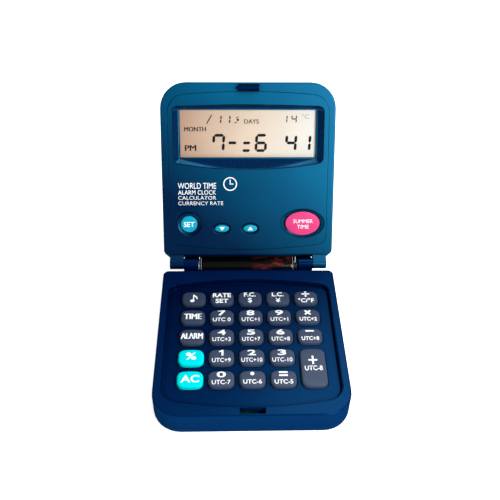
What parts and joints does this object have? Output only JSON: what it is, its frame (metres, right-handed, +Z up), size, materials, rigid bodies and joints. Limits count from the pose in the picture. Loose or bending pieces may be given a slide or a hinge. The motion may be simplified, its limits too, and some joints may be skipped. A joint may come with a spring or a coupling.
{
  "type": "pocket calculator",
  "caption": "Folding pocket calculator and travel clock: square keypad base, hinged lid with recessed display and push buttons, round cell behind the hinge.",
  "frame": {"origin": "centre of the base's flat underside, without the cell housing", "axes": "+Z up; +Y from the user towards the hinge and the open lid; +X to the user's right, along the hinge"},
  "size_m": [0.078, 0.1304, 0.0831],
  "materials": {
    "case": "moulded ABS, fine satin texture, dark teal blue",
    "key_grey": "moulded, matte slate grey with white printing",
    "key_cyan": "moulded, matte bright cyan with white printing",
    "button_cyan": "moulded, satin cyan",
    "button_pink": "moulded, satin pink",
    "window": "clear acrylic, polished",
    "display": "liquid crystal cell on a warm grey reflector",
    "white_plastic": "moulded, white",
    "rubber": "silicone rubber, dark grey",
    "circuit_board": "glass epoxy board, green solder mask",
    "black_resin": "potting resin, black",
    "cell_label": "shrink sleeve, black with a red band",
    "steel": "nickel plated steel",
    "brass": "rolled sheet brass",
    "wire": "PVC insulation, red"
  },
  "bodies": {
    "base": {"base_shell": "case", "deck_panel": "case", "keypad_mat": "rubber", "key_board": "circuit_board", "processor_blob": "black_resin", "quartz_crystal": "steel", "capacitor": "black_resin", "piezo_buzzer": "brass", "case_screws": "steel", "board_screws": "steel", "cell_can": "steel", "cell_wrap": "cell_label", "contact_spring": "steel", "contact_plate": "steel", "hinge_pin": "steel", "hinge_sleeve": "case", "base_wires": "wire"},
    "cell_cover": {"cell_cover": "case"},
    "key_melody": {"key_melody": "key_grey"},
    "key_rate_set": {"key_rate_set": "key_grey"},
    "key_foreign": {"key_foreign": "key_grey"},
    "key_local": {"key_local": "key_grey"},
    "key_divide": {"key_divide": "key_grey"},
    "key_time": {"key_time": "key_grey"},
    "key_7": {"key_7": "key_grey"},
    "key_8": {"key_8": "key_grey"},
    "key_9": {"key_9": "key_grey"},
    "key_multiply": {"key_multiply": "key_grey"},
    "key_alarm": {"key_alarm": "key_grey"},
    "key_4": {"key_4": "key_grey"},
    "key_5": {"key_5": "key_grey"},
    "key_6": {"key_6": "key_grey"},
    "key_minus": {"key_minus": "key_grey"},
    "key_percent": {"key_percent": "key_cyan"},
    "key_1": {"key_1": "key_grey"},
    "key_2": {"key_2": "key_grey"},
    "key_3": {"key_3": "key_grey"},
    "key_clear": {"key_clear": "key_cyan"},
    "key_0": {"key_0": "key_grey"},
    "key_point": {"key_point": "key_grey"},
    "key_equals": {"key_equals": "key_grey"},
    "key_plus": {"key_plus": "key_grey"},
    "lid": {"lid_shell": "case", "lid_panel": "case", "lcd_lens": "window", "lcd_glass": "display", "lcd_holder": "white_plastic", "zebra_strip": "rubber", "display_board": "circuit_board", "lid_button_mat": "rubber", "latch_hook": "case", "lid_wires": "wire", "lid_board_screws": "steel", "thermistor": "black_resin"},
    "set_button": {"set_button": "button_cyan"},
    "down_button": {"down_button": "button_cyan"},
    "up_button": {"up_button": "button_cyan"},
    "saving_button": {"saving_button": "button_pink"}
  },
  "joints": [
    {"name": "lid_hinge", "type": "hinge", "parent": "base", "child": "lid", "pos_m": [0, 0.043, 0.0124], "axis": [1, 0, 0], "range_deg": [0, 120]},
    {"name": "cell_cover_slide", "type": "slide", "parent": "base", "child": "cell_cover", "axis": [0, 1, 0], "range_m": [0, 0.014]},
    {"name": "key_melody_press", "type": "slide", "parent": "base", "child": "key_melody", "axis": [0, 0, -1], "range_m": [0, 0.001], "stiffness_N_per_m": 300},
    {"name": "key_rate_set_press", "type": "slide", "parent": "base", "child": "key_rate_set", "axis": [0, 0, -1], "range_m": [0, 0.001], "stiffness_N_per_m": 300},
    {"name": "key_foreign_press", "type": "slide", "parent": "base", "child": "key_foreign", "axis": [0, 0, -1], "range_m": [0, 0.001], "stiffness_N_per_m": 300},
    {"name": "key_local_press", "type": "slide", "parent": "base", "child": "key_local", "axis": [0, 0, -1], "range_m": [0, 0.001], "stiffness_N_per_m": 300},
    {"name": "key_divide_press", "type": "slide", "parent": "base", "child": "key_divide", "axis": [0, 0, -1], "range_m": [0, 0.001], "stiffness_N_per_m": 300},
    {"name": "key_time_press", "type": "slide", "parent": "base", "child": "key_time", "axis": [0, 0, -1], "range_m": [0, 0.001], "stiffness_N_per_m": 300},
    {"name": "key_7_press", "type": "slide", "parent": "base", "child": "key_7", "axis": [0, 0, -1], "range_m": [0, 0.001], "stiffness_N_per_m": 300},
    {"name": "key_8_press", "type": "slide", "parent": "base", "child": "key_8", "axis": [0, 0, -1], "range_m": [0, 0.001], "stiffness_N_per_m": 300},
    {"name": "key_9_press", "type": "slide", "parent": "base", "child": "key_9", "axis": [0, 0, -1], "range_m": [0, 0.001], "stiffness_N_per_m": 300},
    {"name": "key_multiply_press", "type": "slide", "parent": "base", "child": "key_multiply", "axis": [0, 0, -1], "range_m": [0, 0.001], "stiffness_N_per_m": 300},
    {"name": "key_alarm_press", "type": "slide", "parent": "base", "child": "key_alarm", "axis": [0, 0, -1], "range_m": [0, 0.001], "stiffness_N_per_m": 300},
    {"name": "key_4_press", "type": "slide", "parent": "base", "child": "key_4", "axis": [0, 0, -1], "range_m": [0, 0.001], "stiffness_N_per_m": 300},
    {"name": "key_5_press", "type": "slide", "parent": "base", "child": "key_5", "axis": [0, 0, -1], "range_m": [0, 0.001], "stiffness_N_per_m": 300},
    {"name": "key_6_press", "type": "slide", "parent": "base", "child": "key_6", "axis": [0, 0, -1], "range_m": [0, 0.001], "stiffness_N_per_m": 300},
    {"name": "key_minus_press", "type": "slide", "parent": "base", "child": "key_minus", "axis": [0, 0, -1], "range_m": [0, 0.001], "stiffness_N_per_m": 300},
    {"name": "key_percent_press", "type": "slide", "parent": "base", "child": "key_percent", "axis": [0, 0, -1], "range_m": [0, 0.001], "stiffness_N_per_m": 300},
    {"name": "key_1_press", "type": "slide", "parent": "base", "child": "key_1", "axis": [0, 0, -1], "range_m": [0, 0.001], "stiffness_N_per_m": 300},
    {"name": "key_2_press", "type": "slide", "parent": "base", "child": "key_2", "axis": [0, 0, -1], "range_m": [0, 0.001], "stiffness_N_per_m": 300},
    {"name": "key_3_press", "type": "slide", "parent": "base", "child": "key_3", "axis": [0, 0, -1], "range_m": [0, 0.001], "stiffness_N_per_m": 300},
    {"name": "key_clear_press", "type": "slide", "parent": "base", "child": "key_clear", "axis": [0, 0, -1], "range_m": [0, 0.001], "stiffness_N_per_m": 300},
    {"name": "key_0_press", "type": "slide", "parent": "base", "child": "key_0", "axis": [0, 0, -1], "range_m": [0, 0.001], "stiffness_N_per_m": 300},
    {"name": "key_point_press", "type": "slide", "parent": "base", "child": "key_point", "axis": [0, 0, -1], "range_m": [0, 0.001], "stiffness_N_per_m": 300},
    {"name": "key_equals_press", "type": "slide", "parent": "base", "child": "key_equals", "axis": [0, 0, -1], "range_m": [0, 0.001], "stiffness_N_per_m": 300},
    {"name": "key_plus_press", "type": "slide", "parent": "base", "child": "key_plus", "axis": [0, 0, -1], "range_m": [0, 0.001], "stiffness_N_per_m": 300},
    {"name": "set_button_press", "type": "slide", "parent": "lid", "child": "set_button", "axis": [0, 0.866, -0.5], "range_m": [0, 0.001], "stiffness_N_per_m": 300},
    {"name": "down_button_press", "type": "slide", "parent": "lid", "child": "down_button", "axis": [0, 0.866, -0.5], "range_m": [0, 0.001], "stiffness_N_per_m": 300},
    {"name": "up_button_press", "type": "slide", "parent": "lid", "child": "up_button", "axis": [0, 0.866, -0.5], "range_m": [0, 0.001], "stiffness_N_per_m": 300},
    {"name": "saving_button_press", "type": "slide", "parent": "lid", "child": "saving_button", "axis": [0, 0.866, -0.5], "range_m": [0, 0.001], "stiffness_N_per_m": 300}
  ]
}
